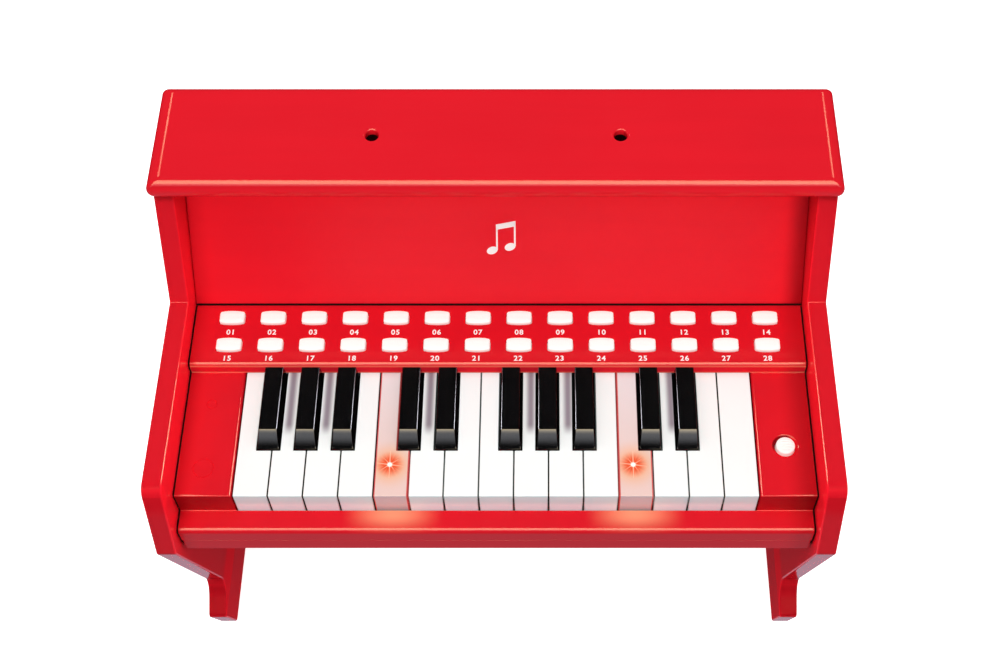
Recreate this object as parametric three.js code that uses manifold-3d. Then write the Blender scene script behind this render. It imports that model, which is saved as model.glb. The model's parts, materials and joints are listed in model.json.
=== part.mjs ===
// Toy electronic keyboard: a small upright piano of lacquered boards with a plastic key console.
// Millimetres, +Z up, the player sits on the -Y side, the floor is Z = 0 and the origin is under
// the middle of the object. Depths below are given from the rear edge of the lid, as negative
// numbers towards the player, and Y() turns them into the object's own frame.
import * as THREE from 'three';
import { mergeVertices } from 'three/addons/utils/BufferGeometryUtils.js';
import Module from 'manifold-3d';

// ---- driving dimensions --------------------------------------------------------------------
const DEPTH = 254.42;           // rear of the lid to the front of the cheeks
const GAP = 0.3;                // clearance between pieces that touch

const LID_W = 415;              // lid board
const LID_D = 79;
const LID_T = 15;
const LID_R = 7;                // rounding of its edges
const TOTAL_H = 325;            // top of the lid above the floor
const PEG_D = 8;                // music rest peg holes in the lid
const PEG_X = 75;
const PEG_Y = -40.4;
const PEG_DEPTH = 12;

const SIDE_W = 411;             // over the outer faces of the two side boards
const SIDE_T = 12;
const INNER = SIDE_W / 2 - SIDE_T;

const ARM_TOP = 243.6;          // top of the arms beside the keys
const CON_W = 385;              // key console
const PANEL_Z = 226.5;          // control panel
const PANEL_FRONT = -143.1;
const PANEL_BACK = -84;
const BLOCK_Z = 218;            // end blocks beside the keys
const BLOCK_FRONT = -229.4;
const LEDGE_Z = 198.9;          // ledge in front of the keys
const SLIP_FRONT = -243.7;
const CON_BOTTOM = 174.2;
const WALL = 3;

const KEY_N = 15;               // white keys, F to F
const KEY_PITCH = 21.06;
const KEY_GAP = 0.75;
const KEY_TOP = 217.2;
const KEY_FRONT = -228.9;
const KEY_BACK = -90;
const KEY_BOTTOM = 205;
const SKIRT_BOTTOM = 196.5;
const PIVOT_Y = -95;            // rounded rail that the keys rock on
const PIVOT_Z = 204.5;
const PIVOT_R = 3;

const BLACK_BASE_W = 13.2;
const BLACK_TOP_W = 11.2;
const BLACK_FRONT = -197.1;
const BLACK_BACK = -143.7;
const BLACK_H = 8.6;            // above the white keys
const BLACK_SLOPE = 9.2;        // how far the front face leans back
const NOTCH_GAP = 0.8;
// black key after this white key, and its shift from the joint between the two white keys
const BLACKS = [[1, -2.3], [2, -0.7], [3, 0.9], [5, -1.1], [6, 0.5], [8, -2.3], [9, -0.7], [10, 0.9], [12, -1.1], [13, 0.5]];

const BTN_N = 14;               // panel buttons in each of two rows
const BTN_PITCH = 26;
const BTN_ROWS = [-107.9, -128.1];
const BTN_W = 15.7;
const BTN_D = 9.4;
const BTN_BULGE = 0.75;         // the long edges bow outwards by this much
const BTN_TOP = 228.7;
const BTN_GAP = 0.4;

const POWER_X = 175.8;
const POWER_Y = -195.6;
const POWER_D = 11.6;
const POWER_TOP = 220.4;
const DISH_D = 15.5;            // shallow dish round the power button
const DISH_DEPTH = 0.9;

// ---- helpers -------------------------------------------------------------------------------
const wasm = await Module();
wasm.setup();
const Y = (v) => v + DEPTH / 2;

function solid(geometry) {
  const g = geometry.clone();
  for (const k of Object.keys(g.attributes)) if (k !== 'position') g.deleteAttribute(k);
  const m = mergeVertices(g, 1e-4);
  return new wasm.Manifold(new wasm.Mesh({
    numProp: 3,
    vertProperties: new Float32Array(m.attributes.position.array),
    triVerts: new Uint32Array(m.index.array),
  }));
}

function mesh(name, body, material) {
  const { vertProperties, triVerts, numProp } = body.getMesh();
  const pos = new Float32Array(vertProperties.length / numProp * 3);
  for (let i = 0; i < pos.length / 3; i++) for (let k = 0; k < 3; k++) pos[3 * i + k] = vertProperties[numProp * i + k];
  const g = new THREE.BufferGeometry();
  g.setAttribute('position', new THREE.BufferAttribute(pos, 3));
  g.setIndex(new THREE.BufferAttribute(new Uint32Array(triVerts), 1));
  g.computeVertexNormals();
  const out = new THREE.Mesh(g, material);
  out.name = name;
  return out;
}

// box from x0..x1, depth y0..y1 and height z0..z1
function box(x0, x1, y0, y1, z0, z1) {
  const g = new THREE.BoxGeometry(x1 - x0, y1 - y0, z1 - z0);
  g.translate((x0 + x1) / 2, Y((y0 + y1) / 2), (z0 + z1) / 2);
  return solid(g);
}

// a [depth, height] outline carried along X from x0 to x1
function alongX(points, x0, x1) {
  const s = new THREE.Shape(points.map(([y, z]) => new THREE.Vector2(Y(y), z)));
  const g = new THREE.ExtrudeGeometry(s, { depth: x1 - x0, bevelEnabled: false });
  g.applyMatrix4(new THREE.Matrix4().set(0, 0, 1, x0, 1, 0, 0, 0, 0, 1, 0, 0, 0, 0, 0, 1));
  return solid(g);
}

// rounds the corner at b between a and c
function fillet(a, b, c, r, n = 4) {
  const u = new THREE.Vector2(a[0] - b[0], a[1] - b[1]).normalize();
  const v = new THREE.Vector2(c[0] - b[0], c[1] - b[1]).normalize();
  const half = Math.acos(u.dot(v)) / 2;
  const t = r / Math.tan(half);
  const m = u.clone().add(v).normalize().multiplyScalar(r / Math.sin(half));
  const o = new THREE.Vector2(b[0], b[1]).add(m);
  const p = new THREE.Vector2(b[0], b[1]).addScaledVector(u, t).sub(o);
  const q = new THREE.Vector2(b[0], b[1]).addScaledVector(v, t).sub(o);
  let d = q.angle() - p.angle();
  if (d > Math.PI) d -= 2 * Math.PI;
  if (d < -Math.PI) d += 2 * Math.PI;
  const out = [];
  for (let i = 0; i <= n; i++) {
    const w = p.angle() + d * i / n;
    out.push([o.x + r * Math.cos(w), o.y + r * Math.sin(w)]);
  }
  return out;
}

// outline with some corners rounded: [y, z] or [y, z, radius, segments]
function rounded(list) {
  const out = [];
  list.forEach((p, i) => {
    if (!p[2]) return out.push([p[0], p[1]]);
    const a = list[(i + list.length - 1) % list.length];
    const c = list[(i + 1) % list.length];
    out.push(...fillet(a, p, c, p[2], p[3] ?? 4));
  });
  return out;
}

function cylinderX(x0, x1, y, z, r, n) {
  const g = new THREE.CylinderGeometry(r, r, x1 - x0, n);
  g.rotateZ(Math.PI / 2);
  g.translate((x0 + x1) / 2, Y(y), z);
  return solid(g);
}

function cylinderZ(x, y, z0, z1, r0, r1, n) {
  const g = new THREE.CylinderGeometry(r1, r0, z1 - z0, n);
  g.rotateX(Math.PI / 2);
  g.translate(x, Y(y), (z0 + z1) / 2);
  return solid(g);
}

// barrel outline of a panel button, grown by k on every side
function barrel(x, y, k) {
  const w = BTN_W / 2 + k;
  const d = BTN_D / 2 + k;
  const edge = (f) => d - BTN_BULGE * f * f;
  const half = [];
  for (const f of [-0.86, -0.5, 0, 0.5, 0.86]) half.push([w * f, edge(f)]);
  const right = [[w * 0.96, edge(0.96) - 0.55], [w, edge(1) - 1.6]];
  const top = [...half, ...right];
  const pts = [[-w, edge(1) - 1.6], [-w * 0.96, edge(0.96) - 0.55], ...top];
  const all = [...pts, ...pts.slice().reverse().map(([a, b]) => [a, -b])];
  return all.map(([a, b]) => new THREE.Vector2(x + a, Y(y) + b)).reverse();
}

function upright(points, z0, z1, chamfer = 0) {
  const s = new THREE.Shape(points);
  const g = chamfer
    ? new THREE.ExtrudeGeometry(s, { depth: z1 - z0 - 2 * chamfer, bevelEnabled: true, bevelThickness: chamfer, bevelSize: chamfer, bevelOffset: -chamfer, bevelSegments: 1 })
    : new THREE.ExtrudeGeometry(s, { depth: z1 - z0, bevelEnabled: false });
  g.translate(0, 0, z0 + chamfer);
  return solid(g);
}

// ---- materials -----------------------------------------------------------------------------
const red = new THREE.MeshStandardMaterial({ color: 0xe81c2a, roughness: 0.18, metalness: 0 });
const redPlastic = new THREE.MeshStandardMaterial({ color: 0xd81e28, roughness: 0.25, metalness: 0 });
const white = new THREE.MeshStandardMaterial({ color: 0xfbfaf5, roughness: 0.2, metalness: 0 });
const litWhite = new THREE.MeshStandardMaterial({ color: 0xf6c9c4, roughness: 0.25, metalness: 0 });
const black = new THREE.MeshStandardMaterial({ color: 0x0b0a0b, roughness: 0.12, metalness: 0 });
const soft = new THREE.MeshStandardMaterial({ color: 0xf7f5f0, roughness: 0.5, metalness: 0 });

const keyboard = new THREE.Group();

// ---- wooden case ---------------------------------------------------------------------------
const sideOutline = rounded([
  [-2, 0],
  [-2, TOTAL_H - LID_T - GAP],
  [-73.9, TOTAL_H - LID_T - GAP],
  [-107.2, ARM_TOP, 3, 2],
  [-238.9, ARM_TOP, 9, 5],
  [-254.6, 190, 4, 3],
  [-212.4, 51.3, 16, 5],
  [-234.2, 38, 3.5, 3],
  [-222.4, 0],
].reverse());
keyboard.add(mesh('left_side_panel', alongX(sideOutline, -SIDE_W / 2, -INNER), red));
keyboard.add(mesh('right_side_panel', alongX(sideOutline, INNER, SIDE_W / 2), red));

const lidZ0 = TOTAL_H - LID_T;
const lidSection = (a, b) => rounded([[a, lidZ0, LID_R, 4], [b, lidZ0, LID_R, 4], [b, TOTAL_H, LID_R, 4], [a, TOTAL_H, LID_R, 4]]);
const lidLong = alongX(lidSection(-LID_D, 0), -LID_W / 2, LID_W / 2);
const lidShape = new THREE.Shape(lidSection(-LID_W / 2, LID_W / 2).map(([x, z]) => new THREE.Vector2(x, z)));
const lidAcross = new THREE.ExtrudeGeometry(lidShape, { depth: LID_D, bevelEnabled: false });
lidAcross.applyMatrix4(new THREE.Matrix4().set(1, 0, 0, 0, 0, 0, -1, Y(0), 0, 1, 0, 0, 0, 0, 0, 1));
let lid = lidLong.intersect(solid(lidAcross));
for (const x of [-PEG_X, PEG_X]) {
  lid = lid.subtract(cylinderZ(x, PEG_Y, TOTAL_H - PEG_DEPTH, TOTAL_H + 1, PEG_D / 2, PEG_D / 2, 20));
  lid = lid.subtract(cylinderZ(x, PEG_Y, TOTAL_H - 1.2, TOTAL_H + 0.001, PEG_D / 2 - 0.01, PEG_D / 2 + 1.2, 20));
}
keyboard.add(mesh('top_lid', lid, red));

keyboard.add(mesh('upper_front_board', alongX([
  [-97.4, PANEL_Z + GAP],
  [-90.1, PANEL_Z + GAP],
  [-31.7, TOTAL_H - LID_T - GAP],
  [-39, TOTAL_H - LID_T - GAP],
], -INNER + GAP, INNER - GAP), red));

keyboard.add(mesh('back_panel', box(-INNER + GAP, INNER - GAP, -9, -3, 165, TOTAL_H - LID_T - GAP), red));

// ---- console -------------------------------------------------------------------------------
const cx = CON_W / 2;
let con = alongX(rounded([
  [SLIP_FRONT, CON_BOTTOM],
  [PANEL_BACK, CON_BOTTOM],
  [PANEL_BACK, PANEL_Z],
  [PANEL_FRONT, PANEL_Z, 2, 3],
  [PANEL_FRONT, BLOCK_Z],
  [BLOCK_FRONT, BLOCK_Z, 1.5, 2],
  [BLOCK_FRONT, LEDGE_Z],
  [SLIP_FRONT, LEDGE_Z, 2, 3],
].reverse()), -cx, cx);
con = con.subtract(alongX([
  [SLIP_FRONT + WALL, CON_BOTTOM + WALL],
  [PANEL_BACK - WALL, CON_BOTTOM + WALL],
  [PANEL_BACK - WALL, PANEL_Z - WALL],
  [PANEL_FRONT + 2.2, PANEL_Z - WALL],
  [PANEL_FRONT + 2.2, BLOCK_Z - WALL],
  [BLOCK_FRONT + WALL, BLOCK_Z - WALL],
  [BLOCK_FRONT + WALL, LEDGE_Z - WALL],
  [SLIP_FRONT + WALL, LEDGE_Z - WALL],
].reverse(), -cx + WALL, cx - WALL));
const keysHalf = KEY_N * KEY_PITCH / 2;
// opening over the keys
con = con.subtract(box(-keysHalf - 0.4, keysHalf + 0.4, BLOCK_FRONT - 0.3, PANEL_FRONT, SKIRT_BOTTOM - 5, BLOCK_Z + 5));
con = con.subtract(box(-keysHalf - 0.4, keysHalf + 0.4, PANEL_FRONT - 3, PANEL_BACK - WALL, KEY_BOTTOM - 2, BLOCK_Z + 0.2));
// walls between the keys and the end blocks
for (const s of [-1, 1]) {
  const a = s * (keysHalf + 0.4);
  const b = s * (keysHalf + 0.4 + 2.4);
  con = con.add(box(Math.min(a, b), Math.max(a, b), BLOCK_FRONT + 1, PANEL_BACK - 1, CON_BOTTOM + 1, BLOCK_Z - 1));
}
// rail that the keys rock on, and the rail that stops them at the front
con = con.add(box(-keysHalf - 1, keysHalf + 1, PIVOT_Y - PIVOT_R, PIVOT_Y + PIVOT_R, CON_BOTTOM + 1, PIVOT_Z));
con = con.add(cylinderX(-keysHalf - 1, keysHalf + 1, PIVOT_Y, PIVOT_Z, PIVOT_R, 20));
con = con.add(box(-keysHalf - 1, keysHalf + 1, KEY_FRONT + 0.9, KEY_FRONT + 4.4, CON_BOTTOM + 1, SKIRT_BOTTOM - 4.3));
// holes for the buttons
const buttonAt = [];
for (let r = 0; r < 2; r++) for (let i = 0; i < BTN_N; i++) buttonAt.push([(i - (BTN_N - 1) / 2) * BTN_PITCH, BTN_ROWS[r], r, i]);
for (const [x, y] of buttonAt) con = con.subtract(upright(barrel(x, y, BTN_GAP), PANEL_Z - WALL - 2, PANEL_Z + 2));
con = con.subtract(cylinderZ(POWER_X, POWER_Y, BLOCK_Z - WALL - 1, BLOCK_Z + 1, POWER_D / 2 + BTN_GAP, POWER_D / 2 + BTN_GAP, 28));
con = con.subtract(cylinderZ(POWER_X, POWER_Y, BLOCK_Z - DISH_DEPTH, BLOCK_Z + 0.001, POWER_D / 2 + BTN_GAP - 0.01, DISH_D / 2, 28));
keyboard.add(mesh('keyboard_console', con, redPlastic));

// ---- keys ----------------------------------------------------------------------------------
const joint = (i) => -keysHalf + i * KEY_PITCH;
const blackX = BLACKS.map(([i, s]) => joint(i) + s);
const saddle = (x0, x1) => cylinderX(x0 - 1, x1 + 1, PIVOT_Y, PIVOT_Z, PIVOT_R + GAP, 20);
for (let i = 0; i < KEY_N; i++) {
  const x0 = joint(i) + KEY_GAP / 2;
  const x1 = joint(i + 1) - KEY_GAP / 2;
  const half = BLACK_BASE_W / 2 + NOTCH_GAP;
  const left = BLACKS.findIndex(([k]) => k === i);
  const right = BLACKS.findIndex(([k]) => k === i + 1);
  const n0 = left >= 0 ? blackX[left] + half : x0;
  const n1 = right >= 0 ? blackX[right] - half : x1;
  const yn = BLACK_FRONT - NOTCH_GAP;
  let key = alongX([
    [KEY_FRONT, SKIRT_BOTTOM], [KEY_FRONT + 4, SKIRT_BOTTOM], [KEY_FRONT + 4, KEY_BOTTOM],
    [yn, KEY_BOTTOM], [yn, KEY_TOP], [KEY_FRONT, KEY_TOP],
  ].reverse(), x0, x1);
  key = key.add(box(n0, n1, yn - 1, KEY_BACK, KEY_BOTTOM, KEY_TOP));
  key = key.subtract(saddle(x0, x1));
  keyboard.add(mesh(`white_key_${String(i + 1).padStart(2, '0')}`, key, i === 4 || i === 11 ? litWhite : white));
}
blackX.forEach((x, i) => {
  const b = BLACK_BASE_W / 2;
  const t = BLACK_TOP_W / 2;
  let key = box(x - b, x + b, BLACK_FRONT, KEY_BACK, KEY_BOTTOM, KEY_TOP - 1);
  // raised part: upright rear face, leaning front face and tapered sides
  const side = alongX([
    [BLACK_FRONT, KEY_TOP - 1.5], [BLACK_FRONT, KEY_TOP], [BLACK_FRONT + BLACK_SLOPE, KEY_TOP + BLACK_H],
    [BLACK_BACK, KEY_TOP + BLACK_H], [BLACK_BACK, KEY_TOP - 1.5],
  ], x - b, x + b);
  const front = new THREE.Shape([
    [-b, KEY_TOP - 1.6], [b, KEY_TOP - 1.6], [b, KEY_TOP], [t, KEY_TOP + BLACK_H + 0.1], [-t, KEY_TOP + BLACK_H + 0.1], [-b, KEY_TOP],
  ].map(([u, v]) => new THREE.Vector2(u, v)));
  const taper = new THREE.ExtrudeGeometry(front, { depth: 80, bevelEnabled: false });
  taper.applyMatrix4(new THREE.Matrix4().set(1, 0, 0, x, 0, 0, -1, Y(BLACK_BACK) + 10, 0, 1, 0, 0, 0, 0, 0, 1));
  key = key.add(side.intersect(solid(taper)));
  key = key.subtract(saddle(x - b, x + b));
  keyboard.add(mesh(`black_key_${String(i + 1).padStart(2, '0')}`, key, black));
});

// ---- buttons -------------------------------------------------------------------------------
for (const [x, y, r, i] of buttonAt) {
  let b = upright(barrel(x, y, 0), PANEL_Z - WALL - 1.4, BTN_TOP, 0.5);
  b = b.add(upright(barrel(x, y, 0.9), PANEL_Z - WALL - GAP - 1.3, PANEL_Z - WALL - GAP));
  keyboard.add(mesh(`panel_button_${'ab'[r]}${String(i + 1).padStart(2, '0')}`, b, soft));
}
const power = new THREE.LatheGeometry([
  [0, BLOCK_Z - WALL - 1.9], [POWER_D / 2 + 1.4, BLOCK_Z - WALL - 1.9], [POWER_D / 2 + 1.4, BLOCK_Z - WALL - 0.4],
  [POWER_D / 2, BLOCK_Z - WALL - 0.4], [POWER_D / 2, POWER_TOP - 0.9], [POWER_D / 2 - 0.9, POWER_TOP], [0, POWER_TOP],
].map(([r, z]) => new THREE.Vector2(r, z)), 28);
power.rotateX(Math.PI / 2);
power.translate(POWER_X, Y(POWER_Y), 0);
keyboard.add(mesh('power_button', solid(power), soft));

export default keyboard;
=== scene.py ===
import bpy, bmesh, json, math
from mathutils import Vector, Matrix

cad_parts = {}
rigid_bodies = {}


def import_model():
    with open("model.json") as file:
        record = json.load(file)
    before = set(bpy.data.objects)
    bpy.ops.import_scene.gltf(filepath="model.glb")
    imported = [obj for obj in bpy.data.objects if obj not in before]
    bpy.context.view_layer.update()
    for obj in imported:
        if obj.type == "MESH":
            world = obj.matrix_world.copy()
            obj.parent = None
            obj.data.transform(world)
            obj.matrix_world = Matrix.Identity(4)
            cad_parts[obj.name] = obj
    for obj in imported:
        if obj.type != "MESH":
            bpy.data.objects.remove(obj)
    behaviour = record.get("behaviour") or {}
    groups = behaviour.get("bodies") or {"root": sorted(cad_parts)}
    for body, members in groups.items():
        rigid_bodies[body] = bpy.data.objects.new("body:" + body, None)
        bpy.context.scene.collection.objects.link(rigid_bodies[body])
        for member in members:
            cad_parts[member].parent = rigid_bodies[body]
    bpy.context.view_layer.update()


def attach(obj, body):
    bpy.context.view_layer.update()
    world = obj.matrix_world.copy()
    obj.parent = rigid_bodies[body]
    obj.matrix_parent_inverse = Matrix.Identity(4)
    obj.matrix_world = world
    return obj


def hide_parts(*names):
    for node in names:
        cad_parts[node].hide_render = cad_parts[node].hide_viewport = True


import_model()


# ---- sizes, in millimetres, the same as the solid model's ---------------------------------
D = 254.42
LID_W, LID_D, LID_T, LID_R, TOTAL_H = 415, 79, 15, 7.0, 325
PEG_X, PEG_Y = 75, -40.4
SIDE_OUT, INNER = 205.5, 193.5
ARM_TOP = 243.6
CON = 192.4
PANEL_Z, PANEL_FRONT, PANEL_BACK = 226.5, -143.1, -84
BLOCK_Z, BLOCK_FRONT = 218, -229.4
LEDGE_Z, SLIP_FRONT, CON_BOTTOM = 198.9, -243.7, 174.2
SEAM_Z = 186.3
KEY_N, PITCH, KGAP = 15, 21.06, 0.75
KEY_TOP, KEY_FRONT, KEY_BACK, KEY_BOTTOM, SKIRT = 217.2, -228.9, -90, 205, 196.5
PIVOT_Y, PIVOT_Z, PIVOT_R = -95, 204.5, 3.3
B_W, B_T, B_FRONT, B_BACK, B_H, B_SLOPE = 13.2, 11.2, -197.1, -143.7, 8.6, 9.2
BLACKS = [(1, -2.3), (2, -0.7), (3, 0.9), (5, -1.1), (6, 0.5), (8, -2.3), (9, -0.7), (10, 0.9), (12, -1.1), (13, 0.5)]
ROWS = [-107.9, -128.1]
BTN_PITCH, BTN_W, BTN_D, BTN_BULGE, BTN_TOP = 26, 15.7, 9.4, 0.75, 228.7
POWER_X, POWER_Y, POWER_D, POWER_TOP = 175.8, -195.6, 11.6, 220.4
HALF = KEY_N * PITCH / 2
LIT = (4, 11)


def P(x, v, z):
    """x, depth from the rear of the lid, height in mm to metres in the frame"""
    return Vector((x * 0.001, (v + D / 2) * 0.001, z * 0.001))


def joint_x(i):
    return -HALF + i * PITCH


BLACK_X = [joint_x(i) + s for i, s in BLACKS]

# ---- mesh helpers -------------------------------------------------------------------------


def finish_mesh(name, bm, smooth=True, weighted=True, body="case", mat=None, node=None):
    bmesh.ops.recalc_face_normals(bm, faces=bm.faces)
    me = bpy.data.meshes.new(name)
    bm.to_mesh(me)
    bm.free()
    for p in me.polygons:
        p.use_smooth = smooth
    ob = bpy.data.objects.new(name, me)
    bpy.context.scene.collection.objects.link(ob)
    if mat:
        me.materials.append(mat)
    if weighted:
        m = ob.modifiers.new("normals", "WEIGHTED_NORMAL")
        m.weight = 80
        m.keep_sharp = True
    if body:
        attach(ob, body)
    if node:
        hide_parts(*([node] if isinstance(node, str) else node))
    return ob


def sharpen(ob, angle):
    ob.data.set_sharp_from_angle(angle=math.radians(angle))


def fillet(a, b, c, r, n):
    u = (Vector(a[:2]) - Vector(b[:2])).normalized()
    v = (Vector(c[:2]) - Vector(b[:2])).normalized()
    half = math.acos(max(-1, min(1, u.dot(v)))) / 2
    t = r / math.tan(half)
    o = Vector(b[:2]) + (u + v).normalized() * (r / math.sin(half))
    p = Vector(b[:2]) + u * t - o
    q = Vector(b[:2]) + v * t - o
    a0 = math.atan2(p.y, p.x)
    d = math.atan2(q.y, q.x) - a0
    while d > math.pi:
        d -= 2 * math.pi
    while d < -math.pi:
        d += 2 * math.pi
    return [(o.x + r * math.cos(a0 + d * i / n), o.y + r * math.sin(a0 + d * i / n)) for i in range(n + 1)]


def rounded(pts):
    out = []
    for i, p in enumerate(pts):
        if len(p) < 3:
            out.append((p[0], p[1]))
        else:
            out += fillet(pts[i - 1], p, pts[(i + 1) % len(pts)], p[2], p[3] if len(p) > 3 else 6)
    return out


def prism_x(bm, pts, x0, x1, bevel=0.0, seg=3):
    """an outline of (depth, height) carried along X, its two end outlines rounded"""
    a = [bm.verts.new(P(x0, y, z)) for y, z in pts]
    b = [bm.verts.new(P(x1, y, z)) for y, z in pts]
    n = len(pts)
    fa = bm.faces.new(a)
    fb = bm.faces.new(list(reversed(b)))
    for i in range(n):
        bm.faces.new([a[(i + 1) % n], a[i], b[i], b[(i + 1) % n]])
    bmesh.ops.recalc_face_normals(bm, faces=bm.faces)
    if bevel:
        edges = list(fa.edges) + list(fb.edges)
        bmesh.ops.bevel(bm, geom=edges, offset=bevel * 0.001, offset_type="OFFSET", segments=seg, profile=0.5, affect="EDGES", clamp_overlap=True)
    return bm


def inset(pts, d):
    """an outline moved in by d, corner for corner"""
    n = len(pts)
    area = sum(pts[i][0] * pts[(i + 1) % n][1] - pts[(i + 1) % n][0] * pts[i][1] for i in range(n))
    s = 1 if area > 0 else -1
    out = []
    for i in range(n):
        p, c, q = Vector(pts[i - 1]), Vector(pts[i]), Vector(pts[(i + 1) % n])
        a, b = (c - p).normalized(), (q - c).normalized()
        na, nb = Vector((-a.y, a.x)) * s, Vector((-b.y, b.x)) * s
        m = (na + nb).normalized()
        out.append(tuple(c + m * (d / max(0.3, m.dot(na)))))
    return out


def round_prism_x(bm, pts, x0, x1, r, seg=6, r1=None):
    """an outline of (depth, height) carried along X, with quarter-round edges of radius r at x0 and r1 at x1"""
    s = 1 if x1 > x0 else -1
    r1 = r if r1 is None else r1
    rings = []
    for k in range(seg + 1):
        a = math.radians(90 * k / seg)
        rings.append((r * (1 - math.sin(a)), x0 + s * r * (1 - math.cos(a))))
    for k in range(seg, -1, -1):
        a = math.radians(90 * k / seg)
        rings.append((r1 * (1 - math.sin(a)), x1 - s * r1 * (1 - math.cos(a))))
    loft(bm, [[P(x, y, z) for y, z in inset(pts, i)] for i, x in rings])
    bmesh.ops.recalc_face_normals(bm, faces=bm.faces)
    return bm


def bevel_sharp(bm, offset, seg, angle=28, only=None):
    edges = [e for e in bm.edges if len(e.link_faces) == 2 and e.calc_face_angle(0) > math.radians(angle) and (only is None or only(e))]
    bmesh.ops.bevel(bm, geom=edges, offset=offset * 0.001, offset_type="OFFSET", segments=seg, profile=0.5, affect="EDGES", clamp_overlap=True)


def loft(bm, rings, close_bottom=True, close_top=True):
    vr = [[bm.verts.new(p) for p in r] for r in rings]
    n = len(rings[0])
    for r in range(len(rings) - 1):
        for i in range(n):
            bm.faces.new([vr[r][i], vr[r][(i + 1) % n], vr[r + 1][(i + 1) % n], vr[r + 1][i]])
    if close_bottom:
        bm.faces.new(list(reversed(vr[0])))
    if close_top:
        bm.faces.new(vr[-1])
    return vr


def rect_ring(x0, x1, y0, y1, z, r, n=6):
    pts = []
    for cx, cy, a in ((x1 - r, y1 - r, 0), (x0 + r, y1 - r, 90), (x0 + r, y0 + r, 180), (x1 - r, y0 + r, 270)):
        for i in range(n + 1):
            w = math.radians(a + 90 * i / n)
            pts.append(P(cx + r * math.cos(w), cy + r * math.sin(w), z))
    return pts


def circle_ring(x, y, z, r, n=48):
    return [P(x + r * math.cos(2 * math.pi * i / n), y + r * math.sin(2 * math.pi * i / n), z) for i in range(n)]


def barrel_ring(x, y, z, k, n=10):
    """outline of a panel button, grown by k"""
    w = BTN_W / 2 + k
    d = BTN_D / 2 + k
    edge = lambda f: d - BTN_BULGE * f * f
    r = max(0.35, 1.5 + k * 0.6)
    top = []
    cx, cy = w - r, edge(1) - r + 0.1
    for i in range(7):
        a = math.radians(90 * i / 6)
        top.append((cx + r * math.cos(a), cy + r * math.sin(a)))
    fx = cx / w
    for i in range(1, n):
        f = fx - 2 * fx * i / n
        top.append((w * f, edge(f)))
    for i in range(7):
        a = math.radians(90 + 90 * i / 6)
        top.append((-cx + r * math.cos(a), cy + r * math.sin(a)))
    pts = top + [(-px, -py) for px, py in top]
    return [P(x + px, y + py, z) for px, py in pts]


def boolean(ob, cutter_bm, name="cut"):
    bmesh.ops.recalc_face_normals(cutter_bm, faces=cutter_bm.faces)
    me = bpy.data.meshes.new(name)
    cutter_bm.to_mesh(me)
    cutter_bm.free()
    co = bpy.data.objects.new(name, me)
    bpy.context.scene.collection.objects.link(co)
    m = ob.modifiers.new("cut", "BOOLEAN")
    m.operation = "DIFFERENCE"
    m.solver = "EXACT"
    m.object = co
    deps = bpy.context.evaluated_depsgraph_get()
    new = bpy.data.meshes.new_from_object(ob.evaluated_get(deps))
    ob.modifiers.remove(m)
    old = ob.data
    ob.data = new
    bpy.data.meshes.remove(old)
    bpy.data.objects.remove(co)
    bpy.data.meshes.remove(me)


def box_bm(x0, x1, y0, y1, z0, z1):
    bm = bmesh.new()
    loft(bm, [[P(x0, y0, z), P(x1, y0, z), P(x1, y1, z), P(x0, y1, z)] for z in (z0, z1)])
    return bm


# ---- materials ----------------------------------------------------------------------------


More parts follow.
